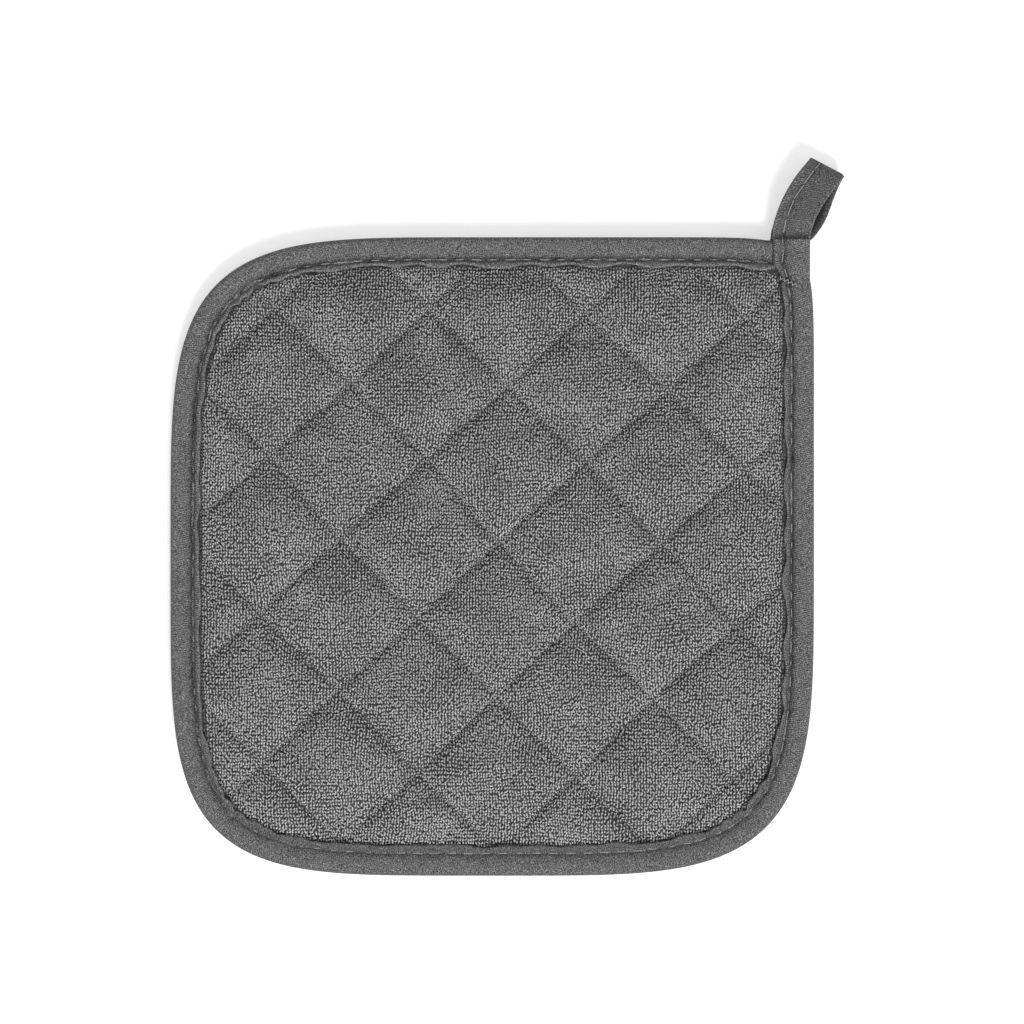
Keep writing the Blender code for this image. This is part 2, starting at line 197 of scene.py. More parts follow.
class Finish(Nodes):
    # one material
    def __init__(self, name, roughness, sheen=0.0):
        self.material = bpy.data.materials.new(name)
        self.material.use_nodes = True
        super().__init__(self.material.node_tree)
        self.shader = self.tree.nodes["Principled BSDF"]
        self.shader.inputs["Roughness"].default_value = roughness
        self.shader.inputs["Specular IOR Level"].default_value = 0.25
        self.shader.inputs["Sheen Weight"].default_value = sheen
        self.shader.inputs["Sheen Roughness"].default_value = 0.5

    def mark(self, name):
        return self.node("ShaderNodeAttribute", {"attribute_name": name}, {}, "Fac")

    def place(self):
        return self.node("ShaderNodeTexCoord", {}, {}, "Object")

    def noise(self, scale, detail):
        return self.node("ShaderNodeTexNoise", {}, {"Vector": self.place(), "Scale": scale, "Detail": detail})

    def wave(self, value):
        return self.node("ShaderNodeMath", {"operation": "SINE"}, {0: value})

    def between(self, share, low, high):
        # a grey that goes from low to high
        greys = {6: (low, low, low, 1), 7: (high, high, high, 1)}
        return self.node("ShaderNodeMix", {"data_type": "RGBA"}, {0: share, **greys}, 2)

    def colour(self, wire):
        self.join(wire, self.shader.inputs["Base Color"])

    def bump(self, height, distance):
        bumped = self.node("ShaderNodeBump", {}, {"Height": height, "Distance": distance})
        self.join(bumped, self.shader.inputs["Normal"])


# the pad's form

pad = {
    "halfWidth": 101.5 * mm,
    "halfLength": 100.7 * mm,
    "cornerPowers": {(1, 1): 13.0, (-1, 1): 4.4, (-1, -1): 4.5, (1, -1): 4.25},
    "midHeight": 4.9 * mm,
    "edgeDroop": 0.6 * mm,
    "droopPower": 4,
    "stackHalf": 1.45 * mm,
    "frontPuff": 3.2 * mm,
    "backPuff": 4.2 * mm,
    "puffRoundness": 0.58,
    "puffRunIn": 12 * mm,
    "puffUneven": 0.10,
    "puffPatch": 42 * mm,
    "clothWall": 0.9 * mm,
    "groundDepth": 0.85 * mm,  # how far below the loops' tips the woven ground lies
    "groundBand": (-2 * mm, -0.3 * mm),  # where it goes down to that, counted inwards from the lip
    "seamPinch": 0.62 * mm,  # how much deeper the thread pulls the cloth along a seam
    "seamPinchWidth": 1.3 * mm,
    "seamSink": 0.5 * mm,  # and how much deeper the ground lies there
    "seamSinkWidth": 2.2 * mm,
    "wrinkle": 0.12 * mm,
    "wrinklePatch": 8 * mm,
    "wrinkleBand": (-0.5 * mm, 1.5 * mm),  # where pinch and wrinkles set in, from the lip
    "aboveTable": 0.02 * mm,
    "inset": 1.3 * mm,
    "lip": 9.6 * mm,
}

seams = {
    "columnStep": 24.9 * mm,
    "rowStep": 24.3 * mm,
    "start": (3.0 * mm, 5.4 * mm),
    "turn": math.radians(-1.3),
    "reach": 12 * mm,  # how far a crossing that was sewn off the grid draws the seams with it
    "hold": 0.08,  # how firmly the grid holds between them
    # column, row, and how far off the grid its crossing was sewn, in mm
    "strays": [
        (-3, -3, 1.1, 0.9), (-3, -1, -1.4, -0.4), (-3, 1, 0.9, 0.9), (-2, -4, 1.5, 0.7),
        (-2, -2, -0.6, 0.1), (-2, 0, -1.3, -0.6), (-2, 2, 1.3, -0.5), (-1, -3, 0.2, -1.1),
        (-1, -1, -1.2, -0.8), (-1, 1, 1.1, 1.0), (-1, 3, 0.3, -0.6), (0, -4, 1.1, -0.8),
        (0, -2, -0.5, -0.6), (0, 0, -1.1, -0.9), (0, 2, 1.2, -0.1), (1, -3, 0.1, -1.0),
        (1, -1, -1.5, -1.3), (1, 1, 0.9, 0.9), (1, 3, -0.3, -1.1), (2, -4, 1.0, 0.0),
        (2, -2, -0.9, -0.3), (2, 0, 0.7, 0.1), (2, 2, 1.6, -0.4), (3, -3, -0.3, -0.6),
        (3, -1, -0.2, -0.8), (3, 1, 1.8, 0.1), (3, 3, 0.1, -1.2), (-4, -2, 0.6, 1.8),
        (-4, 0, -1.2, -0.3), (-4, 2, 3.0, -0.9), (-3, 3, 1.8, -1.5), (-2, 4, 0.0, 0.6),
        (0, 4, -2.4, 0.3), (2, 4, -0.9, 0.0), (4, -2, -1.2, 0.6), (4, 0, 0.6, -0.3),
        (4, 2, 0.3, 0.6),
    ],
}

clothLow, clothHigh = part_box("front_cloth")
padMiddle = np.array([(clothLow[0] + clothHigh[0]) / 2, (clothLow[1] + clothHigh[1]) / 2])


def cornerPower(x, y):
    power = np.zeros(np.broadcast(x, y).shape)
    for (sideX, sideY), value in pad["cornerPowers"].items():
        power = np.where((x > 0) == (sideX > 0), np.where((y > 0) == (sideY > 0), value, power), power)
    return power


def outwardShare(x, y):
    power = cornerPower(x, y)
    return (abs(x / pad["halfWidth"]) ** power + abs(y / pad["halfLength"]) ** power) ** (1 / power)


def outlinePoint(angle):
    share = outwardShare(np.cos(angle), np.sin(angle))
    return np.stack([np.cos(angle) / share, np.sin(angle) / share], -1)


def outlineNormal(point):
    x, y = point[..., 0], point[..., 1]
    power = cornerPower(x, y)
    across = np.sign(x) * abs(x / pad["halfWidth"]) ** (power - 1) / pad["halfWidth"]
    along = np.sign(y) * abs(y / pad["halfLength"]) ** (power - 1) / pad["halfLength"]
    return unit(np.stack([across, along], -1))


outline = outlinePoint(np.linspace(0, math.tau, 1440))

# distance from the outline, kept as a table, because the pile asks for it so often
tableStep = 0.5 * mm
tableReach = 104 * mm
tableSide = np.arange(-tableReach, tableReach, tableStep)
tableX, tableY = np.meshgrid(tableSide, tableSide, indexing="ij")
edgeTable = np.full(tableX.shape, 1.0)
for near in np.array_split(outline, 48):
    away = np.hypot(tableX[..., None] - near[:, 0], tableY[..., None] - near[:, 1])
    edgeTable = np.minimum(edgeTable, away.min(axis=-1))
edgeTable *= np.where(outwardShare(tableX, tableY) < 1, 1, -1)


def edgeDistance(x, y):
    # how far inside the outline a point is
    lastCell = len(tableSide) - 1.001
    across = np.clip((x - tableSide[0]) / tableStep, 0, lastCell)
    along = np.clip((y - tableSide[0]) / tableStep, 0, lastCell)
    i, j = across.astype(int), along.astype(int)
    u, v = across - i, along - j
    low = edgeTable[i, j] * (1 - u) + edgeTable[i + 1, j] * u
    high = edgeTable[i, j + 1] * (1 - u) + edgeTable[i + 1, j + 1] * u
    return low * (1 - v) + high * v


def pastLip(x, y, band):
    # 0 to 1 over a band that is counted inwards from the tape's lip
    return smoothStep(edgeDistance(x, y), pad["lip"] + band[0], pad["lip"] + band[1])


def turned(x, y, angle):
    return x * math.cos(angle) - y * math.sin(angle), x * math.sin(angle) + y * math.cos(angle)


def gridPlace(column, row):
    x, y = turned(column * seams["columnStep"], row * seams["rowStep"], seams["turn"])
    return x + seams["start"][0], y + seams["start"][1]


def strayed(x, y):
    # how far the seams near a point lie off the grid
    total = np.full(np.broadcast(x, y).shape, seams["hold"])
    offX = np.zeros(total.shape)
    offY = np.zeros(total.shape)
    for column, row, strayX, strayY in seams["strays"]:
        centreX, centreY = gridPlace(column, row)
        away = (x - centreX - strayX * mm) ** 2 + (y - centreY - strayY * mm) ** 2
        weight = np.exp(-away / (2 * seams["reach"] ** 2))
        total += weight
        offX += weight * strayX * mm
        offY += weight * strayY * mm
    return offX / total, offY / total


def seamPlace(x, y):
    # where a point lies on the seam grid: whole numbers of either value are seams
    offX, offY = strayed(x, y)
    column, row = turned(x - offX - seams["start"][0], y - offY - seams["start"][1], -seams["turn"])
    column = column / seams["columnStep"]
    row = row / seams["rowStep"]
    return (row + column) / 2, (row - column) / 2


def seamDistance(x, y):
    rising, falling = seamPlace(x, y)
    step = (seams["columnStep"] + seams["rowStep"]) / math.sqrt(2)
    return np.minimum(abs(rising - np.round(rising)), abs(falling - np.round(falling))) * step


def midHeight(x, y):
    plain = pad["midHeight"] - pad["edgeDroop"] * np.minimum(outwardShare(x, y), 1) ** pad["droopPower"]
    lift = bell(np.hypot(x - strip["middleX"], y - strip["topY"]), strip["liftReach"])
    return plain + (strip["midHeight"] - plain) * lift


def puff(x, y):
    rising, falling = seamPlace(x, y)
    cell = abs(np.sin(math.pi * rising) * np.sin(math.pi * falling)) ** pad["puffRoundness"]
    runIn = np.clip((edgeDistance(x, y) - pad["lip"]) / pad["puffRunIn"], 0, 1)
    uneven = 1 + pad["puffUneven"] * ripple(x, y, 5, pad["puffPatch"])
    return cell * uneven * (1 - (1 - runIn) ** 2)


def frontRise(x, y):
    # the front cloth's height without the pull of the thread in the seams
    return midHeight(x, y) + pad["stackHalf"] + pad["frontPuff"] * puff(x, y)


def frontTop(x, y):
    pinch = pad["seamPinch"] * bell(seamDistance(x, y), pad["seamPinchWidth"])
    wrinkle = pad["wrinkle"] * ripple(x, y, 9, pad["wrinklePatch"])
    return frontRise(x, y) - (pinch - wrinkle) * pastLip(x, y, pad["wrinkleBand"])


def groundTop(x, y):
    # the woven ground lies deeper where the loops stand on it, and deepest along the seams
    sunk = pad["seamSink"] * bell(seamDistance(x, y), pad["seamSinkWidth"])
    return frontRise(x, y) - (pad["groundDepth"] + sunk) * pastLip(x, y, pad["groundBand"])


def backUnder(x, y):
    return np.maximum(midHeight(x, y) - pad["stackHalf"] - pad["backPuff"] * puff(x, y), pad["aboveTable"])


# the tape's route: round the edge, up the corner strip, out and back as the loop

tape = {
    "wall": 0.6 * mm,
    "face": 9.3 * mm,
    "bottomFace": 0.35 * mm,  # how much wider it shows along the bottom
    "foldDepth": 1.7 * mm,
    "foldSteps": 9,
    "foldPower": 2.2,
    "foldWidth": 4.7 * mm,  # what the fold takes of the flat strip
    "slotHalf": 1.75 * mm,
    "stitchAt": 7.2 * mm,
    "stitchPitch": 5.36 * mm,
    "stitchStray": (0.12 * mm, 12 * mm),  # how far, and over what length
    "step": 0.8 * mm,
    "aboveTable": 0.03 * mm,
    # the columns of its section: shares of the way from the lip, mm beside the stitches, shares to the fold
    "lipShares": (0.0, 0.06, 0.18, 0.40, 0.65, 0.87),
    "besideStitch": (0.7, 0.5, 0.3, 0.1, -0.1, -0.3, -0.5, -0.75, -1.1),
    "bodyShares": (0.16, 0.33, 0.5, 0.67, 0.84, 1.0),
    # the channel's inside: from the lip, from the stitches, from the fold, from the fold's wall, and how high
    "inner": (2.4 * mm, 1 * mm, 3 * mm, 0.3 * mm),
    "innerRise": (0.9, 0.9, 0.9, 0.8),
    "groove": 0.55 * mm,
    "grooveWidth": 0.55 * mm,
    "dent": 0.30 * mm,  # the broad hollow that the stitching pulls beside the groove
    "dentWidth": 1.9 * mm,
    "pull": (0.75, 0.45),  # of the groove: along a stitch, and how much more at the needle holes
    "crown": 0.40 * mm,
    "crownEnd": 0.5 * mm,
    "crownPower": 1.2,
    "lipRound": 0.5 * mm,
    "lipThin": 0.7,  # how much of the wall rounds off at the lip
    "lipRidge": 0.22 * mm,
    "lipRidgeAt": 0.9 * mm,
    "lipRidgeWidth": 0.7 * mm,
    "lipWaver": (0.46 * mm, 13 * mm),  # how far, and over what length
    "scallop": 0.75 * mm,  # on the corners the lip is gathered stitch by stitch
    "scallopLength": 6.0 * mm,
    "scallopStray": (0.9, 25 * mm),
    "scallopShape": (0.7, 0.72),  # how blunt it is, and its mean
    "pucker": (0.20 * mm, 4.4 * mm),
    "puckerStretch": 0.3,
    "nearLip": (2.5 * mm, 6.5 * mm),
    "waver": ((61, 0.09 * mm, 14 * mm), (63, 0.05 * mm, 5 * mm)),  # seed, height and length
    "cornerRadius": 36 * mm,
    "cornerMost": 1.2,
    "cornerWindow": 21,
    "grooveShade": 0.66,
    "grooveShadeAt": 0.15 * mm,
    "grooveShadeWidth": 0.85 * mm,
    "foldShade": 0.32,
    "foldShadeWidth": 1.8 * mm,
    "bottomShade": 0.16,
    "bottomShadeWidth": 0.8 * mm,
    "slopeShade": 0.13,  # the soft shade from the crown down to the stitches
    "slopeBand": (4.0 * mm, 6.6 * mm),
    "rimLight": 0.28,
    "rimLightAt": 0.4 * mm,
    "rimLightWidth": 0.25 * mm,
    "laidShade": 0.8,  # where the strip's own edge lies over the tape's first end
    "laidBand": (1.0 * mm, 0.2 * mm),
    "shadeRange": (-0.4, 0.9),
    # tight tucks in the lip: where, how wide, how deep
    "tucks": [
        (-74.1 * mm, 84.8 * mm, 1.5 * mm, 1.3 * mm),
        (-82.2 * mm, 78.9 * mm, 1.3 * mm, 0.9 * mm),
        (-88.0 * mm, 70.5 * mm, 1.4 * mm, 0.7 * mm),
        (-64.0 * mm, 88.9 * mm, 1.3 * mm, 0.7 * mm),
        (84.0 * mm, -84.5 * mm, 1.4 * mm, 0.7 * mm),
        (-83.0 * mm, -82.5 * mm, 1.4 * mm, 0.8 * mm),
    ],
}

strip = {
    "width": 12.3 * mm,
    "steps": 28,
    "stitchAt": 8.8 * mm,
    "slotHalf": 0.15 * mm,
    "nestHalf": 2.65 * mm,
    "leavesEdge": 13.6 * mm,
    "opensOver": 3.8 * mm,
    "widensBelowTop": 12.6 * mm,
    "widensOver": 5.7 * mm,
    "endInside": 4.0 * mm,
    "tapeLeavesEdge": 1.5 * mm,
    "midHeight": 5.1 * mm,
    "liftReach": 30 * mm,
}

loop = {
    "reach": 22.7 * mm,
    "lean": 11.4 * mm,
    "leanPower": 1.8,
    "turn": math.radians(27.5),
    "bow": 3.6 * mm,
    "bowPower": 0.7,
    "legSteps": 60,
    "bendSteps": 40,
    "tailSteps": 30,
    "topHeight": 8.8 * mm,
    "underHeight": 1.6 * mm,
    "bendStart": 0.78,
    "closesOver": 4.2 * mm,
    "risesFrom": 0.6 * mm,
    "risesOver": 6.4 * mm,
    "tailHeight": 0.8 * mm,
    "tailReach": 14.5 * mm,
    "shade": 0.26,
    "rimLight": 0.5,
    "rimLightWidth": 0.4 * mm,
    "innerShade": 0.72,  # hardly any light gets in between the legs
    "innerBand": (0.8 * mm, 2.6 * mm),
}

seat = 0.3 * mm
rightTop = pad["cornerPowers"][1, 1]
strip["rootY"] = pad["halfLength"] - strip["leavesEdge"]
strip["foldX"] = pad["halfWidth"] * (1 - (strip["rootY"] / pad["halfLength"]) ** rightTop) ** (1 / rightTop)
strip["middleX"] = strip["foldX"] - strip["width"] / 2
strip["tapeFirstX"] = strip["foldX"] - strip["width"] - strip["tapeLeavesEdge"]
fromMiddle = (strip["tapeFirstX"] / pad["halfWidth"]) ** rightTop
strip["topY"] = pad["halfLength"] * (1 - fromMiddle) ** (1 / rightTop)


def evenly(points, step):
    # places along a line, counted in its points, that are about one step apart
    along = lengthAlong(points)
    count = max(int(along[-1] / step), 2)
    return np.interp(np.linspace(0, along[-1], count + 1), along, np.arange(len(points)))


def edgeRoute():
    first = math.atan2(strip["topY"], strip["tapeFirstX"])
    last = math.tau + math.atan2(strip["rootY"], strip["foldX"])
    angles = np.linspace(first, last, 9000)
    kept = evenly(outlinePoint(angles), tape["step"])
    fold = outlinePoint(np.interp(kept, np.arange(len(angles)), angles))
    return fold, -outlineNormal(fold)


def tapeRoute():
    # every station's fold line, inward direction, up direction, slot, face and stitch line
    hiddenX = np.arange(strip["foldX"] - strip["endInside"], strip["tapeFirstX"], -tape["step"])
    hidden = np.stack([hiddenX, np.full(len(hiddenX), strip["topY"])], -1)
    fold, inward = edgeRoute()
    stripY = np.linspace(strip["rootY"], strip["topY"] + seat, strip["steps"])[1:]
    count = len(stripY)
    flat = np.concatenate([hidden, fold, np.stack([np.full(count, strip["foldX"]), stripY], -1)])
    down, left = np.tile([0.0, -1.0], (len(hidden), 1)), np.tile([-1.0, 0.0], (count, 1))
    inward = np.concatenate([down, inward, left])
    opened = np.zeros(len(flat))
    opened[-count:] = smoothStep(stripY, strip["rootY"], strip["rootY"] + strip["opensOver"])
    widensFrom = strip["topY"] - strip["widensBelowTop"]
    widened = np.zeros(len(flat))
    widened[-count:] = smoothStep(stripY, widensFrom, widensFrom + strip["widensOver"])
    level = {
        "fold": np.column_stack([flat, np.zeros(len(flat))]),
        "inward": np.column_stack([inward, np.zeros(len(flat))]),
        "up": np.tile([0.0, 0.0, 1.0], (len(flat), 1)),
        "slot": tape["slotHalf"] + (strip["nestHalf"] - tape["slotHalf"]) * opened,
        "face": tape["face"] + (strip["width"] - tape["face"]) * widened,
        "stitch": tape["stitchAt"] + (strip["stitchAt"] - tape["stitchAt"]) * widened,
        "level": np.ones(len(flat)),
    }
    out = loopRoute()
    route = {key: np.concatenate([level[key], out[key]]) for key in level}
    route["hidden"] = len(hidden)
    route["edgeEnd"] = len(hidden) + len(fold)
    return route


def loopRoute():
    share = np.linspace(seat / loop["reach"], loop["bendStart"], loop["legSteps"])[1:]
    reach = share * loop["reach"]
    risen = smoothStep(reach, loop["risesFrom"], loop["risesFrom"] + loop["risesOver"])
    closed = smoothStep(reach, seat, loop["closesOver"])
    height = strip["midHeight"] + (loop["topHeight"] - strip["midHeight"]) * risen
    slot = strip["nestHalf"] + (strip["slotHalf"] - strip["nestHalf"]) * closed
    under = np.zeros(len(share))
    bend = np.linspace(math.pi / 2, -math.pi / 2, loop["bendSteps"])[1:]
    bendHalf = (loop["topHeight"] - loop["underHeight"]) / 2
    back = np.linspace(loop["bendStart"], 0, loop["legSteps"])[1:]
    tail = np.linspace(0, -loop["tailReach"] / loop["reach"], loop["tailSteps"])[1:]
    low = smoothStep(back, 0, loop["bendStart"])
    height = np.concatenate([
        height,
        loop["underHeight"] + bendHalf * (1 + np.sin(bend)),
        loop["tailHeight"] + (loop["underHeight"] - loop["tailHeight"]) * low,
        np.full(len(tail), loop["tailHeight"]),
    ])
    rest = len(bend) + len(back) + len(tail)
    slot = np.concatenate([slot, np.full(rest, strip["slotHalf"])])
    under = np.concatenate([under, (1 - np.sin(bend)) / 2, np.ones(len(back) + len(tail))])
    share = np.concatenate([share, loop["bendStart"] + (1 - loop["bendStart"]) * np.cos(bend), back, tail])
    out = np.maximum(share, 0)
    bow = loop["bow"] * under * np.sin(math.pi * out ** loop["bowPower"])
    middle = np.stack([
        strip["middleX"] + loop["lean"] * out ** loop["leanPower"] + bow,
        strip["topY"] + loop["reach"] * share,
        height,
    ], -1)
    kept = evenly(middle, tape["step"])
    pick = np.arange(len(middle))
    middle = np.stack([np.interp(kept, pick, middle[:, i]) for i in range(3)], -1)
    share = np.interp(kept, pick, share)
    slot = np.interp(kept, pick, slot)
    turn = loop["turn"] * smoothStep(share, 0, loop["bendStart"])
    inward = np.stack([-np.cos(turn), np.sin(turn), np.zeros(len(turn))], -1)
    return {
        "fold": middle - inward * strip["width"] / 2,
        "inward": inward,
        "up": unit(np.cross(np.gradient(middle, axis=0), inward)),
        "slot": slot,
        "face": np.full(len(turn), strip["width"]),
        "stitch": np.full(len(turn), strip["stitchAt"]),
        "level": np.zeros(len(turn)),
    }


route = tapeRoute()
padOrigin = np.array([*padMiddle, 0.0])


def tapePoint(across, raised, at=slice(None)):
    # a point of the tape from how far it is in from the fold and up from the middle layer
    place = route["fold"][at] + route["inward"][at] * across[..., None] + route["up"][at] * raised[..., None]
    level = route["level"][at]
    place[..., 2] += level * midHeight(place[..., 0], place[..., 1])
    place[..., 2] = np.maximum(place[..., 2], tape["aboveTable"])
    return place


runMiddle = tapePoint(route["face"] * 0.5, route["slot"] * 0)
run = lengthAlong(runMiddle)
heading = np.unwrap(np.arctan2(route["inward"][:, 1], route["inward"][:, 0]))
bending = abs(np.gradient(heading, run)) * route["level"]
bending = np.convolve(bending, np.ones(tape["cornerWindow"]) / tape["cornerWindow"], mode="same")
bent = np.clip(bending * tape["cornerRadius"], 0, tape["cornerMost"])  # about 1 on a corner
flatness = np.clip(abs(route["up"][:, 2]) * 1.6 - 0.6, 0, 1)  # 0 where the loop turns over
thickness = smoothStep(route["slot"], 0.3 * mm, tape["slotHalf"])  # 0 where the tape is sewn flat on itself
giving = 0.35 + 0.65 * thickness  # how far the thread can pull the tape in
bottom = np.clip(route["inward"][:, 1], 0, 1) * route["level"]  # 1 along the pad's bottom edge
tucked = np.zeros(len(run))
for tuckX, tuckY, width, depth in tape["tucks"]:
    fromTuck = np.hypot(runMiddle[:, 0] - tuckX, runMiddle[:, 1] - tuckY)
    tucked += depth * bell(run - run[np.argmin(fromTuck)], width)


def stitchPull():
    # deeper at the needle holes, shallower at the middle of a stitch
    phase = (run / tape["stitchPitch"]) % 1
    return tape["pull"][0] + tape["pull"][1] * np.cos(phase * math.pi) ** 4


def strayAlong(stray, seed):
    # a soft random value for each station, from its size and the length it changes over
    size, length = stray
    return size * ripple(run, run * 0, seed, length)


def tapeLines(side):
    # how far in from the fold the lip and the stitches lie at each station
    blunt, mean = tape["scallopShape"]
    phase = math.pi * run / tape["scallopLength"] + strayAlong(tape["scallopStray"], 33 + side)
    face = route["face"] + strayAlong(tape["lipWaver"], 21 + side) * route["level"]
    face = face + tape["scallop"] * bent * (abs(np.sin(phase)) ** blunt - mean) - tucked
    face = face + tape["bottomFace"] * bottom
    line = route["stitch"] + strayAlong(tape["stitchStray"], 41) - 0.25 * tucked
    return face[:, None], line[:, None]


def tapeSection(side):
    # across and raised values for all stations, lip to fold, on the front (side 1) or the back (side -1)
    face, line = tapeLines(side)
    beside = np.array(tape["besideStitch"]) * mm
    start = line + beside[-1]
    across = np.concatenate([
        face - (face - line - beside[0]) * np.array(tape["lipShares"]),
        line + beside,
        start + (tape["foldDepth"] - start) * np.array(tape["bodyShares"]),
    ], axis=1)
    groove = tape["groove"] * bell(across - line, tape["grooveWidth"]) * stitchPull()[:, None]
    dent = tape["dent"] * bell(across - line, tape["dentWidth"])
    fromLip = np.clip((face - across) / tape["lipRound"], 0, 1)
    lipRound = tape["wall"] * tape["lipThin"] * (1 - np.sqrt(1 - (1 - fromLip) ** 2))
    ridge = tape["lipRidge"] * bell(face - across - tape["lipRidgeAt"], tape["lipRidgeWidth"])
    crownEnd = line - tape["crownEnd"]
    body = np.clip((crownEnd - across) / crownEnd, 0, 1)
    crown = tape["crown"] * np.sin(math.pi * body ** tape["crownPower"])
    nearLip = smoothStep(across, *tape["nearLip"])
    puckered = ripple(run[:, None], across * tape["puckerStretch"], 51, tape["pucker"][1])
    pucker = tape["pucker"][0] * bent[:, None] * puckered * nearLip
    waver = 0
    for seed, high, length in tape["waver"]:
        waver = waver + high * ripple(run[:, None], across, seed + side, length)
    relief = (crown + ridge - groove - dent + waver) * (giving * flatness)[:, None]
    half = (route["slot"] + tape["wall"])[:, None]
    raised = half - lipRound + relief + pucker - 0.5 * tucked[:, None] * nearLip
    turn = np.linspace(0, math.pi / 2, tape["foldSteps"])[1:]
    foldAcross = tape["foldDepth"] * (1 - np.sin(turn))
    foldRaised = raised[:, -1:] * np.sqrt(1 - np.sin(turn) ** tape["foldPower"])
    across = np.concatenate([across, np.broadcast_to(foldAcross, foldRaised.shape)], axis=1)
    raised = np.concatenate([raised, foldRaised], axis=1)
    return across, raised * side, tapeShade(across, face, line, side)


def tapeShade(across, face, line, side):
    # how dark the cloth is drawn: the groove gathers shade, least where it runs along the bottom
    low, level = bottom[:, None], route["level"][:, None]
    gathered = tape["grooveShade"] * (1 - 0.8 * low) * (0.4 + 0.6 * thickness[:, None])
    gathered = gathered * stitchPull()[:, None]
    shade = gathered * bell(across - line + tape["grooveShadeAt"], tape["grooveShadeWidth"])
    shade = shade + tape["foldShade"] * (0.35 + low) * (1 - smoothStep(across, 0, tape["foldShadeWidth"]))
    shade = shade + tape["bottomShade"] * low * smoothStep(across, line, line + tape["bottomShadeWidth"])
    fromCrown = smoothStep(across, *tape["slopeBand"]) * (1 - smoothStep(across, line, face))
    shade = shade + tape["slopeShade"] * fromCrown * level
    # light rims where the cloth is folded: along the lip, and along the loop's closed edge
    shade = shade - tape["rimLight"] * bell(face - across - tape["rimLightAt"], tape["rimLightWidth"])
    shade = shade - loop["rimLight"] * (1 - level) * bell(across, loop["rimLightWidth"])
    shade = shade + loop["shade"] * (1 - level)
    laid = level * (np.arange(len(run)) > route["edgeEnd"] - 4)[:, None]
    laidFrom, laidTo = tape["laidBand"]
    shade = shade + tape["laidShade"] * laid * smoothStep(across, face - laidFrom, face - laidTo)
    if side < 0:
        inward = smoothStep(-route["up"][:, 2], -0.2, 0.6)[:, None]
        shade = shade + loop["innerShade"] * inward * (0.3 + 0.7 * smoothStep(across, *loop["innerBand"]))
    return np.clip(shade, *tape["shadeRange"])


def lockShade(points):
    # the cloth is drawn in and shaded where the lock stitches go back and forth
    start = np.array(stitch["lockFrom"])
    way = np.array(stitch["lockTo"]) - start
    away = points[..., :2] - start
    share = np.clip((away @ way) / (way @ way), 0, 1)
    away = np.linalg.norm(away - share[..., None] * way, axis=-1)
    return stitch["lockShade"] * bell(away, stitch["lockShadeWidth"])


def buildTape():
    topAcross, topRaised, topShade = tapeSection(1)
    underAcross, underRaised, underShade = tapeSection(-1)
    fromLip, fromStitch, fromFold, pastWall = tape["inner"]
    innerAcross = np.stack([
        route["face"] - fromLip,
        route["stitch"] - fromStitch,
        np.full(len(run), fromFold),
        np.full(len(run), tape["wall"] + pastWall),
    ], -1)
    innerRaised = np.broadcast_to(route["slot"][:, None], innerAcross.shape) * np.array(tape["innerRise"])
    across = np.concatenate([topAcross, underAcross[:, -2::-1], innerAcross, innerAcross[:, ::-1]], axis=1)
    raised = np.concatenate([topRaised, underRaised[:, -2::-1], -innerRaised, innerRaised[:, ::-1]], axis=1)
    shade = np.concatenate([topShade, underShade[:, -2::-1], innerAcross * 0, innerAcross * 0], axis=1)
    stations, corners = across.shape
    at = np.arange(stations)[:, None] * np.ones(corners, dtype=int)
    points = tapePoint(across, raised, at) + padOrigin
    ends = np.stack([np.arange(corners)[::-1], np.arange(corners) + (stations - 1) * corners])
    marks = {
        "along": run[:, None] + across * 0,
        "across": across * np.where(raised >= 0, 1, -1),
        "shade": np.clip(shade + lockShade(points - padOrigin), *tape["shadeRange"]),
    }
    faceSets = [ringFaces(stations, corners), ends]
    piece = makePiece("tape", points.reshape(-1, 3), faceSets, twillFinish("tapeTwill"), marks)
    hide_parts("binding_tape")
    return piece


# materials

twill = {
    "grey": 0.117,
    "light": 0.92,
    "grain": 1.5,
    "specks": (4, 12),  # all over, and at their peaks
    "lines": 0.40,
    "patches": 0.20,
    "pitch": 0.66 * mm,
    "slope": 0.28,
    "waver": 6,
    "relief": 0.20 * mm,
}


def twillFinish(name):
    cloth = Finish(name, roughness=0.9, sheen=0.1)
    along, across = cloth.mark("along"), cloth.mark("across")
    patches = cloth.noise(200, 3)
    specks = cloth.noise(3200, 1) - 0.46
    even, peaks = twill["specks"]
    rows = (along + across * twill["slope"]) * (math.tau / twill["pitch"]) + patches * twill["waver"]
    ribs = cloth.wave(rows) * 0.5 + 0.5
    toneAndShading = (specks * even + specks * specks * peaks) * twill["grain"]
    toneAndShading = toneAndShading + (ribs - 0.5) * twill["lines"] + (patches - 0.5) * twill["patches"]
    toneAndShading = (toneAndShading + twill["light"]) * (1 - cloth.mark("shade")) * twill["grey"]
    cloth.colour(cloth.between(toneAndShading, 0.0, 1.0))
    cloth.bump(ribs * 0.6 + specks * 0.7, twill["relief"])
    return cloth.material


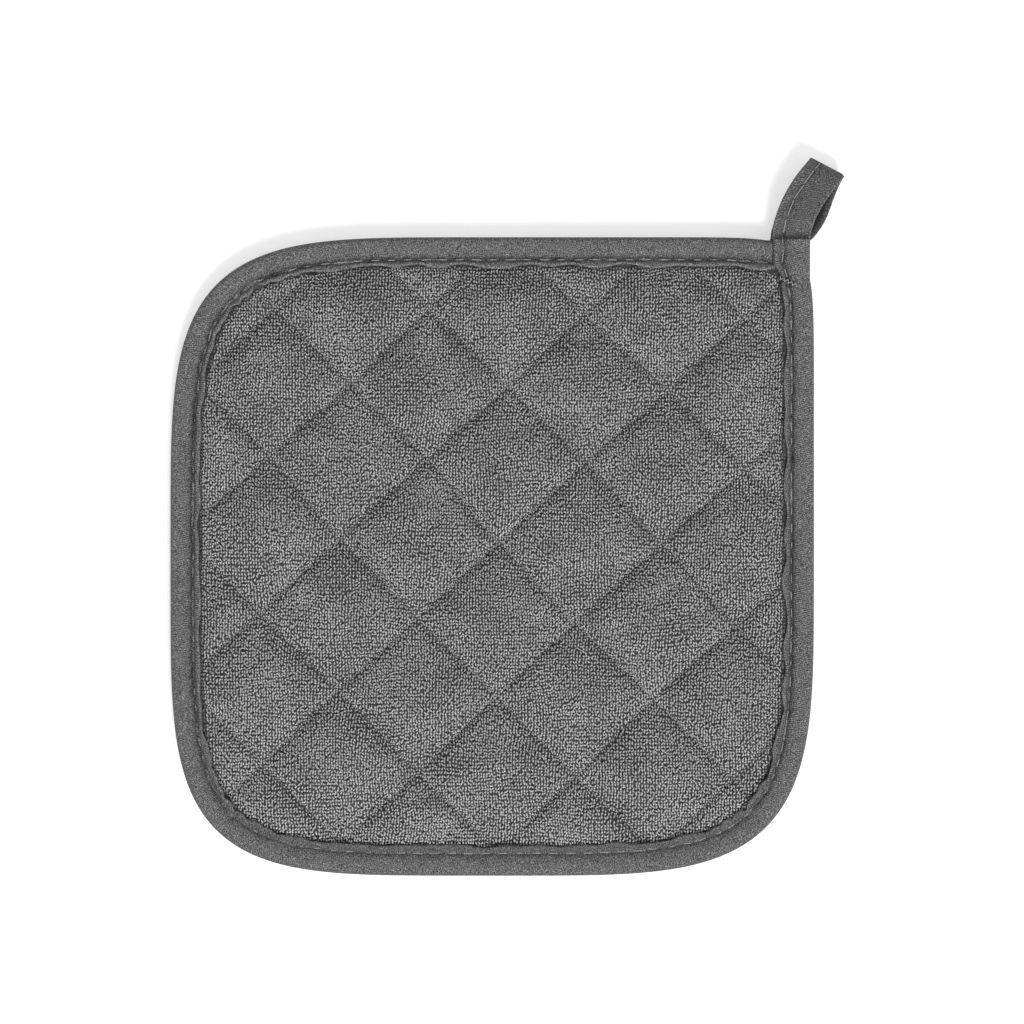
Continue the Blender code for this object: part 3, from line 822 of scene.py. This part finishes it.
pile = {
    "reach": 100 * mm,
    "pitch": (0.89 * mm, 1.00 * mm),
    "wander": (0.6 * mm, 30 * mm),  # how far the rows wander, and over what length
    "jitter": (0.09 * mm, 0.16 * mm),
    "spin": 0.48,
    "sizeSpread": 0.09,
    "yarn": 0.28 * mm,
    "height": 0.68 * mm,
    "halfArch": 0.36 * mm,
    "footSpread": 1.3,
    "footLift": 0.05 * mm,
    "lean": 0.16 * mm,
    "napSpread": (0.6, 0.45),  # of the lean, from patch to patch and from loop to loop
    "nearLip": 0.25 * mm,  # how far the loops reach under the lip
    "fuzz": (0.25, 1.5),
    "toneShare": (0.62, 0.40),
    "relief": 0.08 * mm,
    "root": 0.056,
    "tip": 0.77,
    "ends": (0.35, 0.7),  # how light and how thick the yarn is at its feet; the darker feet are painted shade down between the loops
    "toneSpread": 0.7,
    "patchTone": 0.20,
    "patchSize": 11 * mm,
    "farShade": 0.16,  # painted shade: the pad is drawn a little darker towards its far side, away from the lamp
    "slopeShading": 0.48,  # painted light and shade: each quilted cell is drawn lighter on its slope towards the lamp and darker where it falls away to the far side
    "steepest": 0.35,
    "slopeStep": 0.6 * mm,
    "seamPress": 0.08,  # how far the loops are pressed down in a seam
    "seamPressWidth": 0.8 * mm,
    "seamShade": 0.42,  # and the painted shade that darkens them there
    "seamShadeWidth": 0.42 * mm,
    "lipShade": (1.0, 0.6),  # painted shadow beside the lip, and how much darker it is towards the sides
    "lipShadeBand": (0.2 * mm, 1.1 * mm),
    "pocketShadow": 0.45,  # painted shadow on the loops beside the strip
    "pocketAside": 9 * mm,
    "pocketSize": 7 * mm,
    "pieces": 4,
}


def pileFinish(name):
    cloth = Finish(name, roughness=0.95, sheen=0.2)
    fuzz = cloth.noise(3600, 1)
    plain, toned = pile["toneShare"]
    smooth, fuzzy = pile["fuzz"]
    # from the root colour at a loop's feet to the tip colour at its top: the dark feet are painted shade
    # between the loops
    share = cloth.mark("tip") * (plain + cloth.mark("toneAndShading") * toned) * (smooth + fuzz * fuzzy)
    cloth.colour(cloth.between(share, pile["root"], pile["tip"]))
    cloth.bump(fuzz, pile["relief"])
    return cloth.material


def groundFinish(name, low, high, relief):
    cloth = Finish(name, roughness=0.95, sheen=0.2)
    loops = cloth.node("ShaderNodeTexVoronoi", {}, {"Scale": 1100.0, "Vector": cloth.place()})
    fuzz = cloth.noise(2600, 2)
    # light at the middle of each loop cell and darker between them: painted shade between the loops
    share = 1.1 - loops * 1.3 + fuzz * 0.3
    cloth.colour(cloth.between(share, low, high))
    cloth.bump(share, relief)
    return cloth.material


def threadFinish(name, low, high):
    thread = Finish(name, roughness=0.6, sheen=0.1)
    twist = thread.noise(3200, 1)
    thread.colour(thread.between(twist, low, high))
    thread.bump(twist, 0.05 * mm)
    return thread.material


# cloths and wadding


def buildLayer(name, under, top, around, rings, finish):
    # a closed layer inside the tape, from its rim to the middle, in rings
    angles = np.arange(around) * math.tau / around
    rim = outlinePoint(angles)
    rim = rim - outlineNormal(rim) * pad["inset"]
    shares = np.linspace(1, 0.008, rings)  # to a very small ring, which is closed by one face
    plan = (rim[None] * shares[:, None, None]).reshape(-1, 2)
    high = top(plan[:, 0], plan[:, 1])
    low = under(plan[:, 0], plan[:, 1])
    points = np.concatenate([np.column_stack([plan, high]), np.column_stack([plan, low])]) + padOrigin
    quads = ringFaces(rings, around)[:, ::-1]
    half = len(plan)
    here = np.arange(around)
    after = (here + 1) % around
    rimQuads = np.stack([here, here + half, after + half, after], -1)
    middle = here + (rings - 1) * around
    ends = np.stack([middle, (middle + half)[::-1]])
    return makePiece(name, points, [quads, quads[:, ::-1] + half, rimQuads, ends], finish)


def buildPile():
    # terry loops: each is a short arch of yarn that stands on the cloth and leans with the nap
    rng = np.random.default_rng(17)
    across = np.arange(-pile["reach"], pile["reach"], pile["pitch"][0])
    along = np.arange(-pile["reach"], pile["reach"], pile["pitch"][1])
    x, y = (values.ravel() for values in np.meshgrid(across, along, indexing="ij"))
    wander, length = pile["wander"]
    x, y = (
        x + wander * ripple(x, y, 71, length) + rng.normal(0, pile["jitter"][0], len(x)),
        y + wander * ripple(x, y, 72, length) + rng.normal(0, pile["jitter"][1], len(y)),
    )
    shown = edgeDistance(x, y) > pad["lip"] - pile["nearLip"]
    x, y = x[shown], y[shown]
    count = len(x)
    d = pile["slopeStep"]
    slopeX = (frontTop(x + d, y) - frontTop(x - d, y)) / (2 * d)
    slopeY = (frontTop(x, y + d) - frontTop(x, y - d)) / (2 * d)
    up = unit(np.stack([-slopeX, -slopeY, np.ones(count)], -1))
    spin = rng.normal(0, pile["spin"], count)
    ahead = np.stack([np.sin(spin), np.cos(spin), np.zeros(count)], -1)
    ahead = unit(ahead - up * (ahead * up).sum(-1, keepdims=True))
    side = np.cross(ahead, up)
    size = rng.normal(1, pile["sizeSpread"], count)
    patchNap, loopNap = pile["napSpread"]
    napX = ripple(x, y, 81, pile["patchSize"]) * patchNap + rng.normal(0, loopNap, count)
    napY = ripple(x, y, 82, pile["patchSize"]) * patchNap + rng.normal(0, loopNap, count)
    lean = pile["lean"] * (side * napX[:, None] + ahead * napY[:, None])
    fromSeam = seamDistance(x, y)
    pressed = pile["seamPress"] * bell(fromSeam, pile["seamPressWidth"])
    foot = np.stack([x, y, frontTop(x, y) - pad["groundDepth"] + pile["footLift"]], -1)
    tall = (pile["height"] * size * (1 - pressed))[:, None]
    spread = ahead * (pile["halfArch"] * size)[:, None] * pile["footSpread"]
    paths = np.stack([foot - spread, foot + up * tall + lean, foot + spread], axis=1)
    patches = 0.6 * ripple(x, y, 91, pile["patchSize"]) + 0.4 * ripple(x, y, 92, 3 * pile["patchSize"])
    # random tone by loop and by patch, and below it painted light and shade
    toneAndShading = 0.5 + pile["toneSpread"] * (rng.random(count) - 0.5) + pile["patchTone"] * patches
    # painted shade towards the far side
    toneAndShading = toneAndShading - pile["farShade"] * y / pad["halfLength"]
    # painted shade in the creases of the seams
    toneAndShading = toneAndShading - pile["seamShade"] * bell(fromSeam, pile["seamShadeWidth"])
    # painted light and shade by which way the surface slopes towards the lamp
    toneAndShading = toneAndShading + pile["slopeShading"] * np.clip(slopeY, -pile["steepest"], pile["steepest"])
    # painted shadow on the loops in the corner beside the strip
    fromPocket = np.hypot(x - strip["middleX"] + pile["pocketAside"], y - strip["rootY"])
    toneAndShading = toneAndShading - pile["pocketShadow"] * bell(fromPocket, pile["pocketSize"])
    # painted shadow: the raised lip darkens the loops just inside it
    lipShade, sideShade = pile["lipShade"]
    besideLip = 1 - pastLip(x, y, pile["lipShadeBand"])
    toneAndShading = toneAndShading - besideLip * (lipShade + sideShade * smoothStep(abs(x), 70 * mm, 88 * mm))
    light, thick = pile["ends"]
    tips = np.array([light, 1.0, light])
    girth = pile["yarn"] * np.array([thick, 1.0, thick])
    finish = pileFinish("terryPile")
    pieces = []
    for i, band in enumerate(np.array_split(np.argsort(y), pile["pieces"])):
        points, faceSets = tubes(paths[band], girth, 4, side[band], caps=False)
        marks = {
            "tip": np.broadcast_to(tips[None, :, None], (len(band), 3, 4)),
            "toneAndShading": np.broadcast_to(toneAndShading[band][:, None, None], (len(band), 3, 4)),
        }
        piece = makePiece(f"frontPile{i + 1}", points + padOrigin, faceSets, finish, marks)
        pieces.append(piece)
    print("pile loops", count)
    return pieces


# stitches

stitch = {
    "radius": 0.15 * mm,
    "length": 0.74,  # share of each stitch's pitch that shows
    "lengthSpread": (0.80, 1.08),
    "slant": 0.22 * mm,
    "dip": 0.36 * mm,  # how deep its ends go into the tape
    "lift": 0.10 * mm,
    "loopLength": 0.2,  # on the loop the stitches show longer, and dip less
    "loopLift": 0.08 * mm,
    "loopDip": 0.6,
    "buried": 0.2 * mm,
    "drawn": 0.16 * mm,
    "ends": (2 * mm, 1.5 * mm),
    "low": 0.26,
    "high": 0.52,
    # the back-and-forth stitches that lock the strip down, from and to, as seen from the pad's middle
    "lockFrom": (90.7 * mm, 87.8 * mm),
    "lockTo": (96.9 * mm, 84.8 * mm),
    "lockCount": 11,
    "lockLength": 1.5 * mm,
    "lockAngle": (1.1, 0.55, 0.15),  # its mean, its swing and its spread
    "lockLift": 0.15 * mm,
    "lockDip": 1.6,
    "lockShade": 0.6,
    "lockShadeWidth": 0.9 * mm,
}


def lockStitches(rng, steps, dip):
    mean, swing, spread = stitch["lockAngle"]
    count = stitch["lockCount"]
    share = np.linspace(0, 1, count)[:, None]
    middle = np.array(stitch["lockFrom"]) * (1 - share) + np.array(stitch["lockTo"]) * share
    angle = mean + swing * (-1) ** np.arange(count) + rng.normal(0, spread, count)
    way = np.stack([np.cos(angle), np.sin(angle)], -1) * stitch["lockLength"]
    locked = middle[:, None] + way[:, None] * (steps[None, :, None] - 0.5)
    top = midHeight(locked[..., 0], locked[..., 1]) + tape["slotHalf"] + tape["wall"] + stitch["lockLift"]
    return np.concatenate([locked, (top - dip * stitch["lockDip"])[..., None]], axis=-1)


def buildTapeStitches():
    # short dashes along the groove, front and back, that dip into the tape at both ends
    rng = np.random.default_rng(29)
    first = run[route["hidden"]] + stitch["ends"][0]
    last = run[np.argmax(runMiddle[:, 1])] - stitch["ends"][1]
    starts = np.arange(first, last, tape["stitchPitch"])
    steps = np.linspace(0, 1, 6)
    dip = stitch["dip"] * (2 * steps - 1) ** 4
    stations = np.arange(len(run))
    finish = threadFinish("tapeThread", stitch["low"], stitch["high"])
    for side, name in ((1, "tapeStitchesFront"), (-1, "tapeStitchesBack")):
        onLoop = 1 - np.interp(starts, run, route["level"])[:, None]
        reach = stitch["length"] * rng.uniform(*stitch["lengthSpread"], len(starts))[:, None]
        reach = reach + stitch["loopLength"] * onLoop
        distance = starts[:, None] + (0.5 + reach * (steps[None] - 0.5)) * tape["stitchPitch"]
        slant = rng.normal(0, stitch["slant"], len(starts))[:, None] * (steps[None] - 0.5)
        place = np.interp(distance, run, stations)
        low = np.clip(np.floor(place).astype(int), 0, len(run) - 2)
        share = (place - low)[..., None]
        depth = (tape["groove"] * 0.8 + tape["dent"]) * giving * flatness
        height = route["slot"] + tape["wall"] - depth
        buried = rng.uniform(0, stitch["buried"], len(starts))[:, None] - stitch["loopLift"] * onLoop
        dipped = dip[None] * (1 - stitch["loopDip"] * onLoop)
        lines = []
        for at in (low, low + 1):
            # on the left side and over the top left corner the thread is drawn in deeper
            drawn = stitch["drawn"] * smoothStep(-route["fold"][at, 0], 40 * mm, 80 * mm)
            raised = side * (height[at] + stitch["lift"] - dipped - buried - drawn)
            lines.append(tapePoint(route["stitch"][at] + slant, raised, at))
        paths = lines[0] * (1 - share) + lines[1] * share
        if side == 1:
            paths = np.concatenate([paths, lockStitches(rng, steps, dip)])
        points, faceSets = tubes(paths, stitch["radius"], 5)
        piece = makePiece(name, points + padOrigin, faceSets, finish)
        if side == 1:
            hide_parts("binding_thread")


quilting = {
    "radius": 0.15 * mm,
    "stitchLength": 2.7 * mm,
    "gap": 0.9 * mm,
    "first": 0.5 * mm,
    "depth": 0.45 * mm,
    "dip": 0.4 * mm,
    "fromLip": 0.8 * mm,
    "pastEnds": 2 * mm,
    "low": 0.05,
    "high": 0.16,
}


def seamPoint(column, row):
    # the stray is measured at the point itself, so it is found in a few rounds
    baseX, baseY = gridPlace(column, row)
    x, y = baseX, baseY
    for _ in range(4):
        offX, offY = strayed(x, y)
        x, y = baseX + offX, baseY + offY
    return x, y


def buildQuilting():
    # one zigzag thread for each needle, in single stitches along its seams
    nodes = sorted(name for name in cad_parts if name.startswith("quilting_thread"))
    finish = threadFinish("quiltingThread", quilting["low"], quilting["high"])
    pitch = quilting["stitchLength"] + quilting["gap"]
    steps = np.linspace(0, 1, 5)
    dip = quilting["dip"] * (2 * steps - 1) ** 4
    for name in nodes:
        low, high = (np.array(corner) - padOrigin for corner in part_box(name))
        middleX = (low[0] + high[0]) / 2
        column = math.floor((middleX - seams["start"][0]) / seams["columnStep"])
        rows = np.arange(-6, 6.001, 0.02)
        zig = abs(((rows + column) % 2) - 1)
        x, y = seamPoint(column + 1 - zig, rows)
        shown = edgeDistance(x, y) > pad["lip"] + quilting["fromLip"]
        shown &= (y > low[1] - quilting["pastEnds"]) & (y < high[1] + quilting["pastEnds"])
        line = np.stack([x[shown], y[shown]], -1)
        if len(line) < 8:
            continue
        length = lengthAlong(line)
        starts = np.arange(quilting["first"], length[-1] - quilting["stitchLength"], pitch)
        at = starts[:, None] + steps[None] * quilting["stitchLength"]
        x = np.interp(at, length, line[:, 0])
        y = np.interp(at, length, line[:, 1])
        z = frontTop(x, y) - quilting["depth"] - dip
        points, faceSets = tubes(np.stack([x, y, z], -1), quilting["radius"], 4)
        label = "quiltingStitches" + name[-2:]
        piece = makePiece(label, points + padOrigin, faceSets, finish)
        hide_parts(name)


# build the object

print("outline and seams ready")

# the ground under the front loops is drawn nearly black: painted shade, where little light gets down between
# the loops
frontGround = groundFinish("terryGround", 0.035, 0.09, 0.2 * mm)
frontCloth = buildLayer(
    "frontCloth", lambda x, y: groundTop(x, y) - pad["clothWall"], groundTop, 360, 56, frontGround
)
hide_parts("front_cloth")

backTerry = groundFinish("backTerry", 0.05, 0.30, 0.5 * mm)
backCloth = buildLayer(
    "backCloth", backUnder, lambda x, y: backUnder(x, y) + pad["clothWall"], 300, 44, backTerry
)
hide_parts("back_cloth")

filling = {"under": 0.15 * mm, "over": 0.05 * mm, "clothRoom": 1.4 * mm, "fullness": 0.6}


def fillingPuff(x, y, height):
    return np.maximum(height * puff(x, y) - filling["clothRoom"], 0) * filling["fullness"]


waddingFinish = Finish("cottonWadding", roughness=1.0)
waddingFinish.colour(waddingFinish.between(waddingFinish.noise(400, 3), 0.6, 0.85))
waddingFinish.bump(waddingFinish.noise(700, 3), 0.4 * mm)
wadding = buildLayer(
    "waddingFill",
    lambda x, y: midHeight(x, y) - filling["under"] - fillingPuff(x, y, pad["backPuff"]),
    lambda x, y: midHeight(x, y) - filling["over"] + fillingPuff(x, y, pad["frontPuff"]),
    120, 30, waddingFinish.material,
)
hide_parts("wadding")
print("cloths and wadding made")

pilePieces = buildPile()
print("pile made")

tapePiece = buildTape()
buildTapeStitches()
print("tape and its stitches made")

buildQuilting()
print("quilting made")

# the studio

studio = {
    "cameraAt": (1.57 * mm, 1.51 * mm),
    "cameraHeight": 1.4,
    "padHeight": 6 * mm,  # the height at which the frame's width is measured
    "frameWidth": 322.6 * mm,
    "sensor": 36.0,
    "lampFrom": (0.28, -1.0, 1.0),
    "lampStrength": 2.1,
    "lampSpread": math.radians(20),
    "skyStrength": 0.50,
    "floorGrey": (0.82, 0.82, 0.82, 1),
    "floorGlow": 0.50,
    "floorReach": 6,
    "floorDrop": 0.02 * mm,
}
white = (1, 1, 1, 1)


def buildCamera():
    camera = bpy.data.objects.new("camera", bpy.data.cameras.new("camera"))
    scene.collection.objects.link(camera)
    camera.location = (*studio["cameraAt"], studio["cameraHeight"])
    camera.data.sensor_width = studio["sensor"]
    away = studio["cameraHeight"] - studio["padHeight"]
    camera.data.lens = studio["sensor"] * away / studio["frameWidth"]
    camera.data.clip_end = 20.0
    scene.camera = camera


def buildLamp():
    lamp = bpy.data.objects.new("lamp", bpy.data.lights.new("lamp", "SUN"))
    scene.collection.objects.link(lamp)
    lamp.data.energy = studio["lampStrength"]
    lamp.data.angle = studio["lampSpread"]
    lamp.rotation_mode = "QUATERNION"
    lamp.rotation_quaternion = Vector(studio["lampFrom"]).to_track_quat("Z", "Y")


def buildSky():
    # soft light all round, with plain white where the camera looks past the floor
    scene.world = bpy.data.worlds.new("sky")
    scene.world.use_nodes = True
    sky = Nodes(scene.world.node_tree)
    light = sky.tree.nodes["Background"]
    light.inputs["Color"].default_value = white
    light.inputs["Strength"].default_value = studio["skyStrength"]
    plain = sky.node("ShaderNodeBackground", {}, {"Color": white, "Strength": 1.0})
    lit = Wire(sky, light.outputs[0])
    chosen = sky.node("ShaderNodeMixShader", {}, {0: sky.seen(), 1: lit, 2: plain})
    sky.join(chosen, sky.tree.nodes["World Output"].inputs["Surface"])


def buildFloor():
    # pale, and a little lighter where the camera sees it
    finish = Finish("paleFloor", roughness=0.9)
    finish.shader.inputs["Base Color"].default_value = studio["floorGrey"]
    finish.shader.inputs["Emission Color"].default_value = white
    pale = Wire(finish, finish.shader.outputs[0])
    glow = finish.node("ShaderNodeEmission", {}, {"Color": white, "Strength": studio["floorGlow"]})
    both = finish.node("ShaderNodeAddShader", {}, {0: glow, 1: pale})
    chosen = finish.node("ShaderNodeMixShader", {}, {0: finish.seen(), 1: pale, 2: both})
    finish.join(chosen, finish.tree.nodes["Material Output"].inputs["Surface"])
    mesh = bpy.data.meshes.new("floor")
    reach = studio["floorReach"]
    corners = [(-reach, -reach, 0), (reach, -reach, 0), (reach, reach, 0), (-reach, reach, 0)]
    mesh.from_pydata(corners, [], [(0, 1, 2, 3)])
    mesh.materials.append(finish.material)
    floor = bpy.data.objects.new("floor", mesh)
    floor.location.z = -studio["floorDrop"]
    scene.collection.objects.link(floor)


buildCamera()
buildLamp()
buildSky()
buildFloor()
scene.view_settings.view_transform = "Standard"
print("studio ready")
